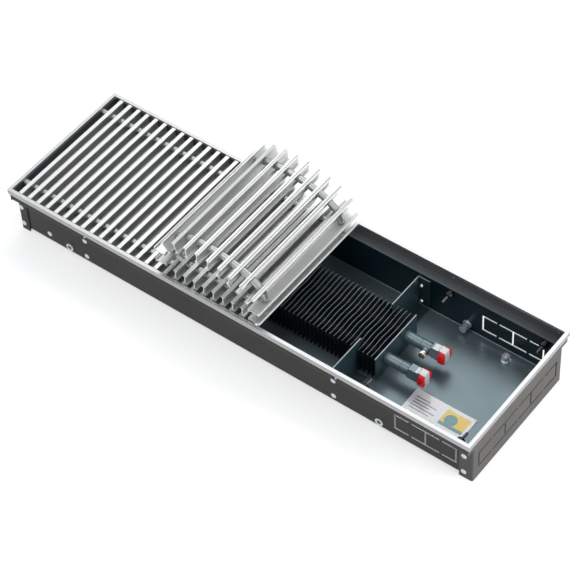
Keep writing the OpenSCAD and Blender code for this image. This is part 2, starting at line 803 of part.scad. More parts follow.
// Section of a louvre about its middle: flange, web and forked foot
module louvre_section() {
    half = louvre_height / 2;
    polygon([
        [web / 2, half - flange_thickness], [flange_width / 2, half - flange_thickness],
        [flange_width / 2, half], [-flange_width / 2, half],
        [-flange_width / 2, half - flange_thickness], [-web / 2, half - flange_thickness],
        [-web / 2, fork_height - half], [-foot_width / 2, fork_wall - half],
        [-foot_width / 2, -half], [fork_wall - foot_width / 2, -half],
        [0, fork_height - fork_wall - half], [foot_width / 2 - fork_wall, -half],
        [foot_width / 2, -half], [foot_width / 2, fork_wall - half], [web / 2, fork_height - half]
    ]);
}
module louvre() {
    difference() {
        along_y(-louvre_half, louvre_half) louvre_section();
        for (y = [-spring_y, spring_y])
            cylinder_x(spring_diameter + 2 * spring_play, -overrun, overrun, y, 0);
    }
}
module flat_louvres() {
    color([0.80, 0.80, 0.80])
    for (i = [0 : flat_count - 1]) translate([first_louvre_x + i * pitch, 0, louvre_mid]) louvre();
}
module rolled_louvres() {
    color([0.80, 0.80, 0.80])
    for (i = [1 : rolled_count])
        translate([link_point(i)[0], 0, link_point(i)[1]]) rotate([0, -link_turn(i), 0]) louvre();
}

// The springs run square through each louvre and straight from one to the next
lead = web / 2 + spring_lead;
function along(i) = [cos(link_turn(i)), sin(link_turn(i))];
function leaving(i) = link_point(i) + lead * along(i);
function entering(i) = link_point(i) - lead * along(i);
pivot = leaving(0) + pivot_share * (entering(1) - leaving(0));
// Lays what is drawn along +X from a point in X and Z towards another one
module on_line(from, to, y) {
    step = to - from;
    translate([from[0], y, from[1]]) rotate([0, -atan2(step[1], step[0]), 0]) children();
}
module rod(from, to, y, diameter, start, length) {
    on_line(from, to, y) cylinder_x(diameter, start, start + length, 0, 0);
}
module flat_springs() {
    span = norm(pivot - leaving(0));
    color([0.62, 0.63, 0.64])
    for (y = [-spring_y, spring_y]) {
        cylinder_x(spring_diameter, clear - rim_in_x, leaving(0)[0], y, louvre_mid);
        translate([leaving(0)[0], y, louvre_mid]) sphere(d = spring_diameter);
        rod(leaving(0), pivot, y, spring_diameter, 0, span - spring_diameter / 2 - clear);
    }
}
// Rings of a tube with a rounded start: centre, direction and radius. The start is
// slim, so that it clears the last flat louvre's flange while the roll swings up.
spring_sides = 8;
spring_start_shares = [[-0.75, 0.25], [-0.5, 0.6], [0, 0.8], [0.4, 1]];
function towards(from, to) = (to - from) / norm(to - from);
function spring_rings() = let (start = towards(pivot, entering(1))) concat(
    [for (s = spring_start_shares) [pivot + spring_diameter / 2 * s[0] * start, start, s[1]]],
    [for (i = [1 : rolled_count], end = [0, 1])
        end == 0 ? [entering(i), towards(link_before(i), leaving(i)), 1]
                 : [leaving(i), i < rolled_count ? towards(entering(i), entering(i + 1)) : along(i), 1]]
);
function link_before(i) = i == 1 ? pivot : leaving(i - 1);
module rolled_spring(y) {
    rings = spring_rings();
    n = spring_sides;
    points = [for (r = rings, k = [0 : n - 1]) let (
        side = spring_diameter / 2 * r[2] * cos(360 * k / n),
        up = spring_diameter / 2 * r[2] * sin(360 * k / n))
        [r[0][0] - up * r[1][1], y + side, r[0][1] + up * r[1][0]]];
    faces = concat(
        [[for (k = [0 : n - 1]) k]],
        [for (i = [0 : len(rings) - 2], k = [0 : n - 1], half = [0, 1]) let (
            a = i * n + k, b = i * n + (k + 1) % n)
            half == 0 ? [a, a + n, b] : [b, a + n, b + n]],
        [[for (k = [n - 1 : -1 : 0]) (len(rings) - 1) * n + k]]
    );
    polyhedron(points, faces);
}
module rolled_springs() {
    color([0.62, 0.63, 0.64]) for (y = [-spring_y, spring_y]) rolled_spring(y);
}
module spacer(from, to, y, start, length) {
    on_line(from, to, y) difference() {
        cylinder_x(spacer_diameter, start, start + length, 0, 0);
        cylinder_x(spring_diameter + 2 * spring_play, start - overrun, start + length + overrun, 0, 0);
    }
}
module flat_spacers() {
    color([0.50, 0.51, 0.52])
    for (i = [0 : flat_count - 2], y = [-spring_y, spring_y])
        spacer([first_louvre_x + i * pitch, louvre_mid], [first_louvre_x + (i + 1) * pitch, louvre_mid],
               y, web / 2 + clear, pitch - web - 2 * clear);
    // The first spacer fills the space between the rim and the first louvre
    for (y = [-spring_y, spring_y])
        spacer([-rim_in_x, louvre_mid], [first_louvre_x, louvre_mid],
               y, clear, edge_gap_left - web / 2 - 2 * clear);
}
// How far along the spring a spacer starts, so that its rim clears a tilted louvre
function spacer_start(turn, direction) =
    let (tilt = abs(turn - direction) % 360, lean = tilt > 180 ? 360 - tilt : tilt)
    (spacer_diameter / 2 * sin(lean) - spring_lead + clear) / cos(lean);
module rolled_spacers() {
    color([0.50, 0.51, 0.52])
    for (i = [1 : rolled_count - 1], y = [-spring_y, spring_y]) {
        step = entering(i + 1) - leaving(i);
        direction = atan2(step[1], step[0]);
        start = spacer_start(link_turn(i), direction);
        end = norm(step) - spacer_start(link_turn(i + 1), direction);
        spacer(leaving(i), entering(i + 1), y, start, end - start);
    }
}

tray();
end_cap_right();
end_cap_left();
rim_front();
rim_back();
rim_right();
rim_left();
end_cap_rivets();
wall_rivet();
band_rivets();
bracket_right();
bracket_left();
bracket_screws();
levelling_nuts();
side_nuts();
side_studs();
stud_heads();
fin_pack();
end_plate_right();
end_plate_left();
copper_tube_front();
copper_tube_back();
return_bend();
tail_front();
tail_back();
union_front();
union_back();
air_vent_body();
air_vent_spindle();
cap_front();
cap_back();
tape_front();
tape_back();
info_label();
flat_louvres();
flat_spacers();
flat_springs();
rolled_louvres();
rolled_spacers();
rolled_springs();
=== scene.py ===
# %% [markdown]
# This script dresses a trench convector heater: a steel trough that is sunk into a floor,
# with a finned heat exchanger inside and a roll-up grille of aluminium louvres on top.
# The solids come from the CAD model and stay where they are. Blender gives every surface
# its finish, and makes the few pieces whose look needs a finer form than the solid has.

# %% Load the frame
import bpy
import numpy as np
from mathutils import Matrix, Vector


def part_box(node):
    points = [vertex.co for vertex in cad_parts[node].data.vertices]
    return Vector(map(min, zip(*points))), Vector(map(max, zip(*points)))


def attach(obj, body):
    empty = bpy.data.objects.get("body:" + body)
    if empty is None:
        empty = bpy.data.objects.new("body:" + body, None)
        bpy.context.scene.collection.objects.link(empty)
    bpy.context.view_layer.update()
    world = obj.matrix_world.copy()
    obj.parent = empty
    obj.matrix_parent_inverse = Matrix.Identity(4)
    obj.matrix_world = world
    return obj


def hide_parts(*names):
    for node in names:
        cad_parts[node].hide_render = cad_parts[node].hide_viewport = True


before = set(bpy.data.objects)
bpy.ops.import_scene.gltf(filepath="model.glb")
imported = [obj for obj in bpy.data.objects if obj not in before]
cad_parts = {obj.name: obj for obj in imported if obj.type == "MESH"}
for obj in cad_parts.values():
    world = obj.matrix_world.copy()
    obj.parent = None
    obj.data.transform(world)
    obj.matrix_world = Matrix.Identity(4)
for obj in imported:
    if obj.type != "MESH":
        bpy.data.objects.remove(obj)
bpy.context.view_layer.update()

# %% [markdown]
# The camera stands where the photographer stood: high above the front right corner, far away
# with a long lens, so that the trough's long edges run almost parallel. It could be aimed by
# eye, but its place and its three directions, right, down and forward, were worked out from
# the corners of the casing, which brings the edges closer. The focal length is in pixels of
# the photograph, and turns into a lens by the sensor's width.

# %% Camera
SENSOR_MM = 36.0
PHOTO_PIXELS = 570
FOCAL_PIXELS = 2327.4
CAMERA_REACH = 50
CAMERA_PLACE = (1.384063, -1.640544, 2.504894)
CAMERA_RIGHT = (0.795686, 0.604229, -0.042313)
CAMERA_DOWN = (0.435064, -0.618728, -0.654137)
CAMERA_FORWARD = (-0.421429, 0.502079, -0.755192)

scene = bpy.context.scene
camera_data = bpy.data.cameras.new("photo_camera")
camera_data.sensor_width = SENSOR_MM
camera_data.lens = FOCAL_PIXELS * SENSOR_MM / PHOTO_PIXELS
camera_data.clip_end = CAMERA_REACH
camera = bpy.data.objects.new("photo_camera", camera_data)
turn = Matrix((CAMERA_RIGHT, [-c for c in CAMERA_DOWN], [-c for c in CAMERA_FORWARD])).transposed()
camera.matrix_world = Matrix.Translation(CAMERA_PLACE) @ turn.to_4x4()
scene.collection.objects.link(camera)
scene.camera = camera
print("lens in mm:", round(camera_data.lens, 2))

# %% [markdown]
# A product photo of dark paint beside bright aluminium needs broad, soft light: small lamps
# would draw hard shadows, and hot spots on the metal. One large lamp hangs above the far
# side, so that flat tops mirror it as a pale sheen. A weak one over
# the front left opens the shadows, and one at the right lifts the end wall above the front.
# The lamps stay at a plain level, so a colour renders about as it is written.

# %% Lamps
# Each lamp's name, place, target, width and height in metres, and its power in watts
LAMPS = (("key", (-0.3, 1.4, 2.1), (0.0, 0.0, 0.05), 2.6, 1.3, 19),
         ("front", (-0.5, -1.1, 2.2), (0.0, 0.0, 0.05), 1.8, 1.0, 9),
         ("side", (2.4, 0.2, 0.9), (0.1, 0.0, 0.05), 1.4, 0.9, 32))


def area_lamp(name, place, target, width, height, power):
    """A rectangular lamp at place whose -Z axis points at target."""
    data = bpy.data.lights.new(name, "AREA")
    data.shape = "RECTANGLE"
    data.size, data.size_y, data.energy = width, height, power
    lamp = bpy.data.objects.new(name, data)
    lamp.location = place
    lamp.rotation_euler = (Vector(target) - Vector(place)).to_track_quat("-Z", "Y").to_euler()
    scene.collection.objects.link(lamp)


for lamp_values in LAMPS:
    area_lamp(*lamp_values)
print(len(LAMPS), "lamps")

# %% [markdown]
# The background is white, but a white world would light the object far too much. So the
# world has two faces: it is white for rays that come from the camera, a mirror or glass, and
# a weak, slightly blue sky for the rays that light the object.

# %% World
SKY_COLOUR = (0.93, 0.96, 1.0, 1)
SKY_STRENGTH = 0.36
WHITE = (1, 1, 1, 1)


def camera_or_mirror(tree):
    """1 for rays that come from the camera, a mirror or glass, and 0 for the rest."""
    path = tree.nodes.new("ShaderNodeLightPath")
    first = tree.nodes.new("ShaderNodeMath")
    first.operation = "MAXIMUM"
    tree.links.new(path.outputs["Is Camera Ray"], first.inputs[0])
    tree.links.new(path.outputs["Is Glossy Ray"], first.inputs[1])
    second = tree.nodes.new("ShaderNodeMath")
    second.operation = "MAXIMUM"
    tree.links.new(first.outputs[0], second.inputs[0])
    tree.links.new(path.outputs["Is Transmission Ray"], second.inputs[1])
    return second.outputs[0]


world = bpy.data.worlds.new("studio")
scene.world = world
world.use_nodes = True
world_tree = world.node_tree
world_tree.nodes.clear()
white = world_tree.nodes.new("ShaderNodeBackground")
white.inputs["Color"].default_value = WHITE
white.inputs["Strength"].default_value = 1.0
soft = world_tree.nodes.new("ShaderNodeBackground")
soft.inputs["Color"].default_value = SKY_COLOUR
soft.inputs["Strength"].default_value = SKY_STRENGTH
blend = world_tree.nodes.new("ShaderNodeMixShader")
world_out = world_tree.nodes.new("ShaderNodeOutputWorld")
world_tree.links.new(camera_or_mirror(world_tree), blend.inputs[0])
world_tree.links.new(soft.outputs[0], blend.inputs[1])
world_tree.links.new(white.outputs[0], blend.inputs[2])
world_tree.links.new(blend.outputs[0], world_out.inputs[0])
print("world is set")

# %% [markdown]
# The object stands on a plain pale floor. A matt surface keeps the object's shadow. More
# lamp light would make it white, but would bleach the object too, so a glow that only the
# camera and mirrors see lifts the floor to the white of the background.

# %% Floor
FLOOR_HALF = 6.0
FLOOR_SHADE = (0.80, 0.80, 0.80, 1)
FLOOR_GLOW = 0.55

floor_mesh = bpy.data.meshes.new("studio_floor")
floor_mesh.from_pydata([(-FLOOR_HALF, -FLOOR_HALF, 0), (FLOOR_HALF, -FLOOR_HALF, 0),
                        (FLOOR_HALF, FLOOR_HALF, 0), (-FLOOR_HALF, FLOOR_HALF, 0)], [], [(0, 1, 2, 3)])
floor = bpy.data.objects.new("studio_floor", floor_mesh)
scene.collection.objects.link(floor)
floor_paint = bpy.data.materials.new("studio_floor")
floor_paint.use_nodes = True
floor_tree = floor_paint.node_tree
floor_tree.nodes.clear()
matt = floor_tree.nodes.new("ShaderNodeBsdfDiffuse")
matt.inputs["Color"].default_value = FLOOR_SHADE
glow = floor_tree.nodes.new("ShaderNodeEmission")
glow.inputs["Strength"].default_value = FLOOR_GLOW
both = floor_tree.nodes.new("ShaderNodeAddShader")
lifted = floor_tree.nodes.new("ShaderNodeMixShader")
floor_out = floor_tree.nodes.new("ShaderNodeOutputMaterial")
floor_tree.links.new(matt.outputs[0], both.inputs[0])
floor_tree.links.new(glow.outputs[0], both.inputs[1])
floor_tree.links.new(camera_or_mirror(floor_tree), lifted.inputs[0])
floor_tree.links.new(matt.outputs[0], lifted.inputs[1])
floor_tree.links.new(both.outputs[0], lifted.inputs[2])
floor_tree.links.new(lifted.outputs[0], floor_out.inputs[0])
floor_mesh.materials.append(floor_paint)
scene.view_settings.view_transform = "Standard"
print("floor is", 2 * FLOOR_HALF, "m wide")

# %% [markdown]
# Colours are written as the screen shows them, from 0 to 255, because that is how they are
# read from a photograph. A shader wants linear values, which the sRGB curve gives.

# %% Colours and units
MM = 0.001


def linear(colour):
    """A screen colour as linear values: c / 12.92 for a dark share c of full brightness, and
    otherwise (c + 0.055) / 1.055 to the power 2.4."""
    share = np.array(colour, dtype=float) / 255
    low = share <= 0.04045
    return tuple(np.where(low, share / 12.92, ((share + 0.055) / 1.055) ** 2.4)) + (1.0,)


print("middle grey in linear values:", round(float(linear((128, 128, 128))[0]), 3))

# %% [markdown]
# Every finish starts as one Principled shader. The small helpers below add what all real
# surfaces have: a colour that drifts a little, a roughness that is not even, and a fine bump.
# Patterns read Object coordinates, because each piece's place is in its mesh, so a pattern in
# metres stays put on the piece and has its real scale.

# %% Helpers for finishes
# Noise seldom leaves this range, so it is stretched from here to the range that is wanted
NOISE_LOW, NOISE_HIGH = 0.3, 0.7


class Finish:
    """A material with one Principled shader and short ways to add nodes to it."""

    def __init__(self, name, colour, roughness, metallic=0.0, coat=0.0, coat_roughness=0.1):
        self.material = bpy.data.materials.new(name)
        self.material.use_nodes = True
        self.tree = self.material.node_tree
        self.shader = self.tree.nodes["Principled BSDF"]
        self.shader.inputs["Base Color"].default_value = linear(colour)
        self.shader.inputs["Roughness"].default_value = roughness
        self.shader.inputs["Metallic"].default_value = metallic
        self.shader.inputs["Coat Weight"].default_value = coat
        self.shader.inputs["Coat Roughness"].default_value = coat_roughness
        self.place = self.tree.nodes.new("ShaderNodeTexCoord").outputs["Object"]

    def link(self, source, target):
        self.tree.links.new(source, target)

    def math(self, operation, first, second=0.0):
        """A Math node on one or two values, each a number or a socket."""
        node = self.tree.nodes.new("ShaderNodeMath")
        node.operation = operation
        for socket, value in zip(node.inputs, (first, second)):
            if isinstance(value, (int, float)):
                socket.default_value = value
            else:
                self.link(value, socket)
        return node.outputs[0]

    def between(self, value, low, high):
        """1 where value lies between low and high."""
        return self.math("MULTIPLY", self.math("GREATER_THAN", value, low),
                         self.math("LESS_THAN", value, high))

    def axes(self):
        """The sockets of x, y and z, in metres."""
        node = self.tree.nodes.new("ShaderNodeSeparateXYZ")
        self.link(self.place, node.inputs[0])
        return node.outputs

    def noise(self, scale, detail, stretch=(1, 1, 1)):
        """Noise with about scale lumps to a metre, drawn out along an axis by stretch."""
        mapping = self.tree.nodes.new("ShaderNodeMapping")
        mapping.inputs["Scale"].default_value = stretch
        self.link(self.place, mapping.inputs["Vector"])
        node = self.tree.nodes.new("ShaderNodeTexNoise")
        node.inputs["Scale"].default_value = scale
        node.inputs["Detail"].default_value = detail
        self.link(mapping.outputs[0], node.inputs["Vector"])
        return node.outputs["Fac"]

    def ramp(self, value, low, high, first, second):
        """Moves value from the range low..high to the range first..second."""
        node = self.tree.nodes.new("ShaderNodeMapRange")
        self.link(value, node.inputs["Value"])
        for name, number in (("From Min", low), ("From Max", high),
                             ("To Min", first), ("To Max", second)):
            node.inputs[name].default_value = number
        return node.outputs[0]

    def cloud(self, scale, detail, low, high):
        """A value that wanders from low to high with the noise."""
        return self.ramp(self.noise(scale, detail), NOISE_LOW, NOISE_HIGH, low, high)

    def mix(self, share, first, second):
        """Mixes two colours, each a colour or a socket, by a socket."""
        node = self.tree.nodes.new("ShaderNodeMix")
        node.data_type = "RGBA"
        self.link(share, node.inputs["Factor"])
        for socket, value in ((node.inputs["A"], first), (node.inputs["B"], second)):
            if hasattr(value, "links"):
                self.link(value, socket)
            else:
                socket.default_value = value
        return node.outputs["Result"]

    def colour(self, socket):
        self.link(socket, self.shader.inputs["Base Color"])

    def roughness(self, socket):
        self.link(socket, self.shader.inputs["Roughness"])

    def specular(self, level):
        self.shader.inputs["Specular IOR Level"].default_value = level

    def bump(self, height, distance, strength):
        node = self.tree.nodes.new("ShaderNodeBump")
        node.inputs["Distance"].default_value = distance
        node.inputs["Strength"].default_value = strength
        self.link(height, node.inputs["Height"])
        self.link(node.outputs[0], self.shader.inputs["Normal"])

    def drift(self, colour, amount, scale):
        """The colour, darker and lighter by amount in broad soft patches."""
        pale = tuple(min(1, c * (1 + amount)) for c in linear(colour)[:3]) + (1,)
        dark = tuple(c * (1 - amount) for c in linear(colour)[:3]) + (1,)
        return self.mix(self.noise(scale, detail=4), dark, pale)


def dress(finish, *nodes):
    """Gives CAD nodes a finish."""
    for name in nodes:
        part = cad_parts[name]
        part.data.materials.clear()
        part.data.materials.append(finish.material)
    print(finish.material.name, "on", ", ".join(nodes))


print("helpers for finishes are ready")

# %% [markdown]
# The trough is bent from 1.5 mm sheet steel, and its inside and outside have different coats.
# Two materials on sorted faces could show that, but a CAD mesh is left as it is. So one
# material asks where a point is: a threshold halfway through the sheet tells the coats apart.
# The thresholds come from the boxes of the nodes that touch the sheet.

# %% Where each coat begins
SHEET = 1.5 * MM
HALF_SHEET = SHEET / 2
LOUVRE_PLAY = 0.3 * MM
FLOOR_RISE = 1.2 * MM
CUT_HALF = 0.6 * MM
CUT_MARGIN = 4 * MM
tray_low, tray_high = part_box("tray")
label_low, label_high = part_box("info_label")
WALL_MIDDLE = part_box("side_studs")[1].y - HALF_SHEET
LEDGE_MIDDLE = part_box("flat_louvres")[0].z - LOUVRE_PLAY - HALF_SHEET
FLOOR_MIDDLE = tray_low.z + HALF_SHEET
BAND_MIDDLE = tray_high.y - HALF_SHEET
END_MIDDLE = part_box("end_cap_right")[1].x - HALF_SHEET
FLOOR_ZONE = label_low.z + FLOOR_RISE
CUT_LOW, CUT_HIGH = FLOOR_MIDDLE + CUT_MARGIN, LEDGE_MIDDLE - CUT_MARGIN
print("coats change at y", round(WALL_MIDDLE, 4), "and z", round(FLOOR_MIDDLE, 4), round(LEDGE_MIDDLE, 4))

# %% [markdown]
# The outside, the ledge and the raised band are powder coated in a warm dark grey. In the band
# round the grille it is painted lighter, as painted light. The space for the heat exchanger has
# a cooler coat with metal flakes on its floor. That coat is painted in two copies: a light one on
# the floor, a painted sheen for the sky it mirrors, and a dark one on the walls, a painted shade
# for the dark things they mirror. The slots of the knock-out windows have bare edges, which draw
# the windows' light outlines.

# %% Casing paint
WARM_GREY = (60, 58, 56)
# The right end cap's grey is the warm outside grey lightened: painted light for the lamp at the right
CAP_LIT_GREY = (92, 89, 86)
# The floor's colour and the walls' teal are one cool coat, painted lit on the floor (a painted sheen) and
# shaded on the walls (painted shade); the band's grey is the outside paint made lighter as painted light
FLOOR_SHEEN = (110, 125, 131)
WALL_SHADE_TEAL = (15, 38, 48)
BAND_LIT_GREY = (100, 103, 106)
CUT_EDGE = (206, 209, 211)
INSIDE_ROUGHNESS, OUTSIDE_ROUGHNESS = 0.30, 0.44
FLAKE_METAL = 0.45


def two_coats(name, outside_colour, cuts=False):
    """Warm outside_colour where a face is beyond the walls' middle, above the ledge's or below
    the floor's, with a lighter grey as painted light in the band round the grille; elsewhere
    cool paint, with a painted sheen on the floor and painted shade on the walls. With cuts, the
    edges of slots in the long walls are bare."""
    paint = Finish(name, outside_colour, roughness=0.35)
    paint.specular(0.2)
    x, y, z = paint.axes()
    across, along = paint.math("ABSOLUTE", y), paint.math("ABSOLUTE", x)
    above_ledge = paint.math("GREATER_THAN", z, LEDGE_MIDDLE)
    outside = paint.math("MAXIMUM", paint.math("GREATER_THAN", across, WALL_MIDDLE),
                         paint.math("GREATER_THAN", along, END_MIDDLE))
    outside = paint.math("MAXIMUM", outside, above_ledge)
    outside = paint.math("MAXIMUM", outside, paint.math("LESS_THAN", z, FLOOR_MIDDLE))
    on_floor = paint.math("LESS_THAN", z, FLOOR_ZONE)
    # Painted shade on the walls and a painted sheen on the floor: two copies of one coat
    wall_painted_shade = paint.drift(WALL_SHADE_TEAL, amount=0.12, scale=14)
    floor_painted_sheen = paint.drift(FLOOR_SHEEN, amount=0.05, scale=9)
    in_band = paint.math("MULTIPLY", above_ledge, paint.math("LESS_THAN", across, BAND_MIDDLE))
    in_band = paint.math("MULTIPLY", in_band, paint.math("LESS_THAN", along, END_MIDDLE))
    # The band's lighter grey is painted light on the same paint as the outside
    outer = paint.mix(in_band, paint.drift(outside_colour, amount=0.05, scale=11),
                      paint.drift(BAND_LIT_GREY, amount=0.06, scale=15))
    coat = paint.mix(outside, paint.mix(on_floor, wall_painted_shade, floor_painted_sheen), outer)
    if cuts:
        in_sheet = paint.between(across, WALL_MIDDLE - CUT_HALF, WALL_MIDDLE + CUT_HALF)
        bare = paint.math("MULTIPLY", in_sheet, paint.between(z, CUT_LOW, CUT_HIGH))
        coat = paint.mix(bare, coat, linear(CUT_EDGE))
    paint.colour(coat)
    smear = paint.cloud(scale=16, detail=3, low=-0.03, high=0.04)
    gloss = paint.ramp(outside, 0, 1, INSIDE_ROUGHNESS, OUTSIDE_ROUGHNESS)
    paint.roughness(paint.math("ADD", gloss, smear))
    flakes = paint.math("MULTIPLY", on_floor, paint.math("SUBTRACT", 1.0, outside))
    paint.link(paint.math("MULTIPLY", flakes, FLAKE_METAL), paint.shader.inputs["Metallic"])
    paint.bump(paint.noise(scale=1500, detail=2), distance=0.02 * MM, strength=0.25)
    return paint


dress(two_coats("casing_paint", WARM_GREY, cuts=True), "tray")
# The right end cap is the same warm paint as the left one, painted lighter as painted light from the lamp at
# the right
dress(two_coats("end_cap_paint", CAP_LIT_GREY), "end_cap_right")
dress(two_coats("left_cap_paint", WARM_GREY), "end_cap_left")

# %% [markdown]
# The rim and the louvres are drawn aluminium with a clear anodised skin: not polished, with
# fine die lines along their length. The shader's own anisotropy could smear the gloss, but
# has no lines. Here noise is stretched a hundred times along the bar, and drives the
# roughness and a very small bump.

# %% Aluminium
RIM_GREY = (188, 189, 190)
LOUVRE_GREY = (216, 217, 216)
ALONG_X, ALONG_Y = 0, 1
DIE_STRETCH = 0.01


def drawn_aluminium(name, colour, along, metallic):
    """Aluminium with die lines along the axis number along."""
    metal = Finish(name, colour, roughness=0.42, metallic=metallic)
    stretch = [1.0, 1.0, 1.0]
    stretch[along] = DIE_STRETCH
    lines = metal.noise(900, 2, stretch)
    metal.roughness(metal.ramp(lines, NOISE_LOW, NOISE_HIGH, 0.38, 0.47))
    metal.colour(metal.drift(colour, amount=0.04, scale=17))
    metal.bump(lines, distance=0.01 * MM, strength=0.1)
    return metal


dress(drawn_aluminium("rim_aluminium", RIM_GREY, ALONG_X, metallic=1.0), "rim_front", "rim_back")
dress(drawn_aluminium("rim_end_aluminium", RIM_GREY, ALONG_Y, metallic=1.0), "rim_right", "rim_left")
dress(drawn_aluminium("louvre_aluminium", LOUVRE_GREY, ALONG_Y, metallic=0.75),
      "flat_louvres", "rolled_louvres")

# %% [markdown]
# Small hardware has its own metals. Zinc plate is bright with a blue cast and a cloudy grain.
# The studs are darker steel. Their thread is a sine along their axis in a bump, because a
# modelled one would take thousands of faces for a few pixels. The louvres' springs are plain
# steel, and the spacers on them have a smooth metallic lacquer.

# %% Hardware
ZINC = (212, 219, 225)
STUD_STEEL = (112, 113, 116)
SPACER_GREY = (172, 174, 176)
SPRING_GREY = (150, 151, 154)
THREAD_PITCH = 0.7 * MM

zinc = Finish("zinc_plate", ZINC, roughness=0.26, metallic=0.75)
zinc.colour(zinc.drift(ZINC, amount=0.04, scale=90))
zinc.roughness(zinc.cloud(scale=300, detail=2, low=0.26, high=0.34))
dress(zinc, "band_rivets", "bracket_screws", "levelling_nuts", "side_nuts")

thread = Finish("stud_thread", STUD_STEEL, roughness=0.34, metallic=1.0)
turns = thread.math("MULTIPLY", thread.axes()[ALONG_Y], 2 * np.pi / THREAD_PITCH)
thread.bump(thread.math("SINE", turns), distance=0.12 * MM, strength=0.9)
thread.colour(thread.drift(STUD_STEEL, amount=0.12, scale=220))
dress(thread, "side_studs")

lacquer = Finish("spacer_plastic", SPACER_GREY, roughness=0.26, metallic=0.85)
lacquer.colour(lacquer.drift(SPACER_GREY, amount=0.05, scale=60))
lacquer.roughness(lacquer.cloud(scale=300, detail=3, low=0.22, high=0.32))
dress(lacquer, "flat_spacers", "rolled_spacers")

spring = Finish("spring_steel", SPRING_GREY, roughness=0.3, metallic=1.0)
spring.colour(spring.drift(SPRING_GREY, amount=0.1, scale=90))
dress(spring, "flat_springs", "rolled_springs")

# %% [markdown]
# The stud heads, the red caps and the tape are plastic. A moulded part is even in colour, has
# a slightly cloudy gloss, and keeps the fine matt texture of its mould.

# %% Plastics
HEAD_BLACK = (14, 14, 15)
CAP_RED = (252, 26, 38)
MOULD_GRAIN, CAP_GRAIN = 1500, 900


def moulded(name, colour, roughness, grain=MOULD_GRAIN):
    """Moulded plastic with about grain bumps to a metre."""
    plastic = Finish(name, colour, roughness=roughness)
    plastic.specular(0.35)
    plastic.colour(plastic.drift(colour, amount=0.08, scale=60))
    plastic.roughness(plastic.cloud(scale=300, detail=3, low=roughness - 0.06, high=roughness + 0.08))
    plastic.bump(plastic.noise(grain, detail=2), distance=0.02 * MM, strength=0.15)
    return plastic


dress(moulded("black_plastic", HEAD_BLACK, roughness=0.26), "stud_heads")
dress(moulded("cap_plastic", CAP_RED, roughness=0.38, grain=CAP_GRAIN), "cap_front", "cap_back")

# %% [markdown]
# New pieces are surfaces on grids. A thin thing such as a fin, the tape or the leaflet is a
# grid of points for its top and one for its underside, closed by a rim of faces. The pieces
# are smooth, apart from edges sharper than a set angle, and each one rides on a body of the
# model and stands for the plain CAD node that it replaces.

# %% Helpers for meshes
SHARP_ANGLE = np.radians(40)


def faces_from(*corners):
    """Faces as rows of point numbers, from one array of numbers for each corner."""
    return np.stack([corner.ravel() for corner in corners], axis=1)


def closed_sheet(top, under):
    """Points and faces of a thin closed sheet between two grids of points. The grid's first
    direction crossed with its second one points out of the top."""
    rows, columns = top.shape[:2]
    number = np.arange(rows * columns).reshape(rows, columns)
    below = number + rows * columns
    ring = np.concatenate([number[0, :-1], number[:-1, -1], number[-1, :0:-1], number[:0:-1, 0]])
    after = np.roll(ring, -1)
    faces = [faces_from(number[:-1, :-1], number[1:, :-1], number[1:, 1:], number[:-1, 1:]),
             faces_from(below[:-1, :-1], below[:-1, 1:], below[1:, 1:], below[1:, :-1]),
             faces_from(ring, after, after + rows * columns, ring + rows * columns)]
    return np.concatenate([top.reshape(-1, 3), under.reshape(-1, 3)]), faces


def joined(parts):
    """Several lots of points and faces as one."""
    starts = np.cumsum([0] + [len(points) for points, _ in parts])
    points = np.concatenate([points for points, _ in parts])
    return points, [rows + start for (_, faces), start in zip(parts, starts) for rows in faces]


def piece(name, points, faces, finish, body, slot, *replaced):
    """A smooth mesh piece that rides on a body and stands for some CAD nodes."""
    mesh = bpy.data.meshes.new(name)
    mesh.from_pydata(points.tolist(), [], [face for rows in faces for face in rows.tolist()])
    mesh.polygons.foreach_set("use_smooth", [True] * len(mesh.polygons))
    mesh.set_sharp_from_angle(angle=SHARP_ANGLE)
    mesh.materials.append(finish.material)
    thing = bpy.data.objects.new(name, mesh)
    scene.collection.objects.link(thing)
    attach(thing, body)
    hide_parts(*replaced)
    print(name, len(mesh.polygons), "faces")


print("helpers for meshes are ready")

# %% [markdown]
# The heat exchanger is aluminium fins on copper tubes, all coated nearly black against
# corrosion. Each fin waves along its length, and its front and back edges are rippled. The
# upper edges get a painted highlight, a lighter grey for the light that their thin tops catch,
# which draws the fine wavy lines across the block.
# A bump can't change an edge that is seen against the light, so the fins are made as meshes.

# %% Fins
FIN_DARK = (38, 50, 56)
# Greys of the painted highlight on the fins' top edges
EDGE_HIGHLIGHT_DARK, EDGE_HIGHLIGHT_PALE = (96, 106, 112), (176, 184, 188)
FIN_PITCH = 7 * MM
FIN_THICKNESS = 0.4 * MM
FIN_WAVE = 0.45 * MM
WAVE_COUNT = 2
EDGE_RIPPLE = 0.5 * MM
RIPPLE_COUNT = 5
RIPPLE_POWER = 12
EDGE_DEPTH = 0.4 * MM
FIN_ROWS, FIN_COLUMNS = 29, 21
fin_low, fin_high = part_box("fin_pack")
plate_low, plate_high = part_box("end_plate_right")


def fin(place):
    """One fin: x = place + wave sin(4 pi t) + ripple e(t) sin(10 pi h), where t runs across the
    block and h up it from 0 to 1, and e(t) = |2 t - 1| ** 12 keeps the ripple to the edges."""
    across, up = np.meshgrid(np.linspace(0, 1, FIN_ROWS), np.linspace(0, 1, FIN_COLUMNS), indexing="ij")
    wave = FIN_WAVE * np.sin(2 * np.pi * WAVE_COUNT * across)
    ripple = EDGE_RIPPLE * np.abs(2 * across - 1) ** RIPPLE_POWER * np.sin(2 * np.pi * RIPPLE_COUNT * up)
    x = place + wave + ripple
    y = fin_low.y + (fin_high.y - fin_low.y) * across
    z = fin_low.z + (fin_high.z - fin_low.z) * up
    right = np.stack([x + FIN_THICKNESS / 2, y, z], axis=2)
    left = np.stack([x - FIN_THICKNESS / 2, y, z], axis=2)
    return closed_sheet(right, left)


